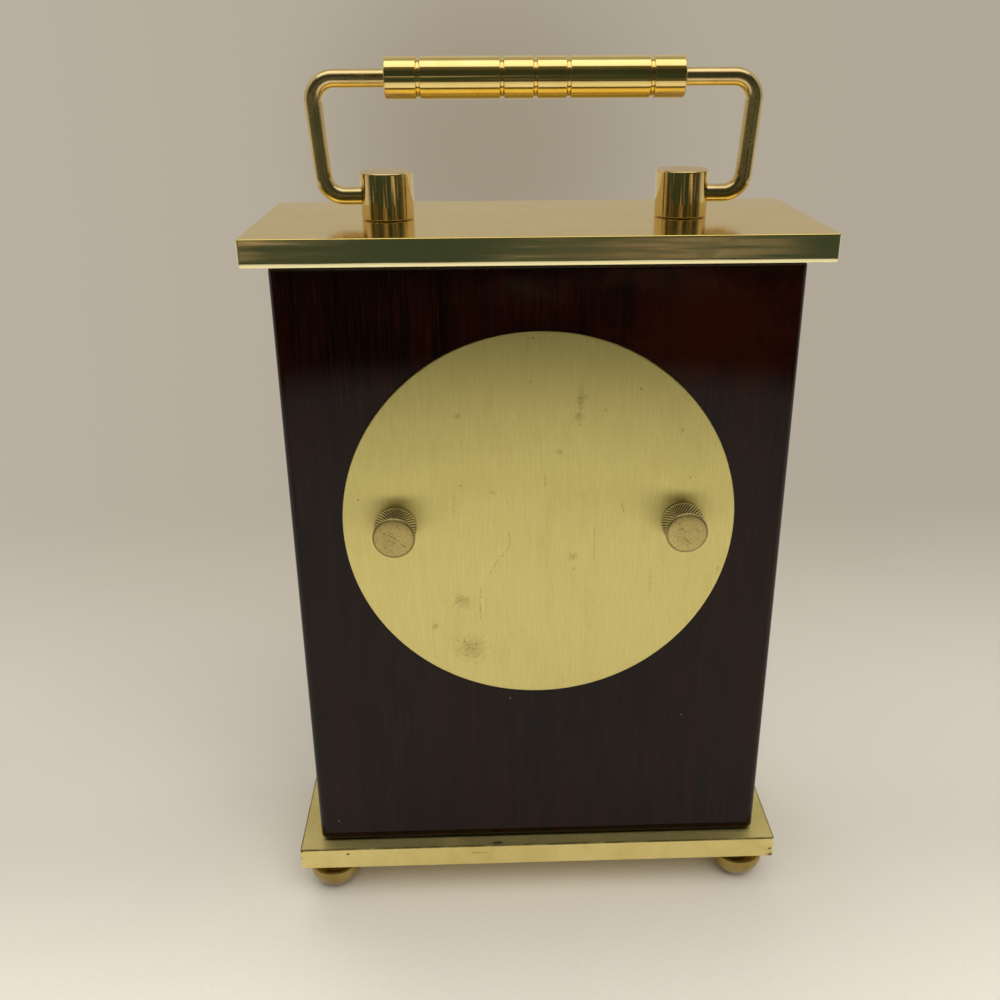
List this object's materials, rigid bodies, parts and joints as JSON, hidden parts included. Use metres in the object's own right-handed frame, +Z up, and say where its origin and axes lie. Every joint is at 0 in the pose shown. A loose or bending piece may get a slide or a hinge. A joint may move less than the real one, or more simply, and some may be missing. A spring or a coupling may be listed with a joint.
{
  "type": "bracket clock",
  "caption": "Bracket clock: lacquered wood case between brass plates on ball feet, with a folding bail handle, a round dial, a quartz movement and a rear cover on thumb nuts.",
  "frame": {"origin": "on the floor, below the middle of the clock", "axes": "+Z up; the dial faces -Y and the rear cover faces +Y; +X is to the right when facing the dial"},
  "size_m": [0.127, 0.0644, 0.2104],
  "materials": {
    "lacquered_wood": "high-gloss lacquer",
    "top_plate_brass": "polished",
    "base_plate_brass": "satin",
    "polished_brass": "polished",
    "brushed_brass": "brushed",
    "turned_brass": "dull, knurled or as turned",
    "lens_glass": "clear",
    "dial_white": "satin",
    "hand_black": "satin",
    "steel": "plain",
    "black_plastic": "matt moulded",
    "white_plastic": "matt moulded",
    "battery_label": "satin",
    "board_green": "satin",
    "copper_winding": "enamelled wire"
  },
  "bodies": {
    "case": {"case_body": "lacquered_wood", "top_plate": "top_plate_brass", "base_plate": "base_plate_brass", "foot_front_left": "polished_brass", "foot_front_right": "polished_brass", "foot_rear_left": "polished_brass", "foot_rear_right": "polished_brass", "base_screw_front_left": "steel", "base_screw_front_right": "steel", "base_screw_rear_left": "steel", "base_screw_rear_right": "steel", "handle_post_left": "polished_brass", "handle_post_right": "polished_brass", "post_insert_left": "turned_brass", "post_insert_right": "turned_brass", "bezel": "polished_brass", "lens": "lens_glass", "spacer_ring": "base_plate_brass", "dial": "dial_white", "movement_plate": "steel", "retaining_ring": "steel", "dial_washer": "turned_brass", "dial_nut": "turned_brass", "stud_left": "steel", "stud_right": "steel", "stud_nut_left": "steel", "stud_nut_right": "steel", "movement_housing": "black_plastic", "movement_cover": "black_plastic", "train_bridge": "white_plastic", "battery": "battery_label", "battery_contact_positive": "steel", "battery_contact_negative": "steel", "circuit_board": "board_green", "crystal": "steel", "coil": "copper_winding", "stator": "steel"},
    "handle": {"handle_arm_left": "polished_brass", "handle_arm_right": "polished_brass", "handle_grip": "polished_brass"},
    "rear_cover": {"back_cover": "brushed_brass"},
    "nut_left": {"thumb_nut_left": "turned_brass"},
    "nut_right": {"thumb_nut_right": "turned_brass"},
    "minute_work": {"minute_hand": "hand_black", "minute_cannon": "white_plastic"},
    "motion_work": {"motion_wheel": "white_plastic"},
    "hour_work": {"hour_hand": "hand_black", "hour_wheel": "white_plastic"},
    "setting_knob": {"set_knob": "black_plastic"},
    "seconds_work": {"seconds_hand": "polished_brass", "seconds_wheel": "white_plastic"},
    "third_work": {"third_wheel": "white_plastic"},
    "minute_drive": {"minute_drive_wheel": "white_plastic"},
    "fifth_work": {"fifth_wheel": "white_plastic"},
    "motor": {"rotor": "white_plastic"}
  },
  "joints": [
    {"name": "handle_fold", "type": "hinge", "parent": "case", "child": "handle", "pos_m": [0, 0, 0.1811], "axis": [1, 0, 0], "range_deg": [-90, 90]},
    {"name": "rear_cover_lift", "type": "slide", "parent": "case", "child": "rear_cover", "axis": [0, 1, 0], "range_m": [0, 0.02]},
    {"name": "nut_left_turn", "type": "hinge", "parent": "rear_cover", "child": "nut_left", "pos_m": [-0.0337, 0.0254, 0.1093], "axis": [0, 1, 0], "continuous": true},
    {"name": "nut_right_turn", "type": "hinge", "parent": "rear_cover", "child": "nut_right", "pos_m": [0.0337, 0.0254, 0.1093], "axis": [0, 1, 0], "continuous": true},
    {"name": "minute_turn", "type": "hinge", "parent": "case", "child": "minute_work", "pos_m": [0, -0.02, 0.1093], "axis": [0, 1, 0], "continuous": true},
    {"name": "motion_turn", "type": "hinge", "parent": "case", "child": "motion_work", "pos_m": [0.00866, -0.016, 0.1143], "axis": [0, 1, 0], "continuous": true},
    {"name": "hour_turn", "type": "hinge", "parent": "case", "child": "hour_work", "pos_m": [0, -0.02, 0.1093], "axis": [0, 1, 0], "continuous": true},
    {"name": "set_knob_turn", "type": "hinge", "parent": "case", "child": "setting_knob", "pos_m": [0.01732, 0, 0.1193], "axis": [0, 1, 0], "continuous": true},
    {"name": "seconds_turn", "type": "hinge", "parent": "case", "child": "seconds_work", "pos_m": [0, -0.02, 0.1093], "axis": [0, 1, 0], "continuous": true},
    {"name": "third_turn", "type": "hinge", "parent": "case", "child": "third_work", "pos_m": [-0.00883, -0.011, 0.1144], "axis": [0, 1, 0], "continuous": true},
    {"name": "minute_drive_turn", "type": "hinge", "parent": "case", "child": "minute_drive", "pos_m": [0, -0.013, 0.1093], "axis": [0, 1, 0], "continuous": true},
    {"name": "fifth_turn", "type": "hinge", "parent": "case", "child": "fifth_work", "pos_m": [0.00092, -0.009, 0.11976], "axis": [0, 1, 0], "continuous": true},
    {"name": "rotor_turn", "type": "hinge", "parent": "case", "child": "motor", "pos_m": [-0.00429, -0.009, 0.12597], "axis": [0, 1, 0], "continuous": true}
  ],
  "couplings": [
    {"joint": "motion_turn", "follows": "minute_turn", "ratio": -0.33333},
    {"joint": "hour_turn", "follows": "minute_turn", "ratio": 0.083333},
    {"joint": "set_knob_turn", "follows": "minute_turn", "ratio": 1},
    {"joint": "third_turn", "follows": "seconds_turn", "ratio": -0.13333},
    {"joint": "minute_drive_turn", "follows": "seconds_turn", "ratio": 0.016667},
    {"joint": "fifth_turn", "follows": "seconds_turn", "ratio": -6},
    {"joint": "rotor_turn", "follows": "seconds_turn", "ratio": 30}
  ]
}
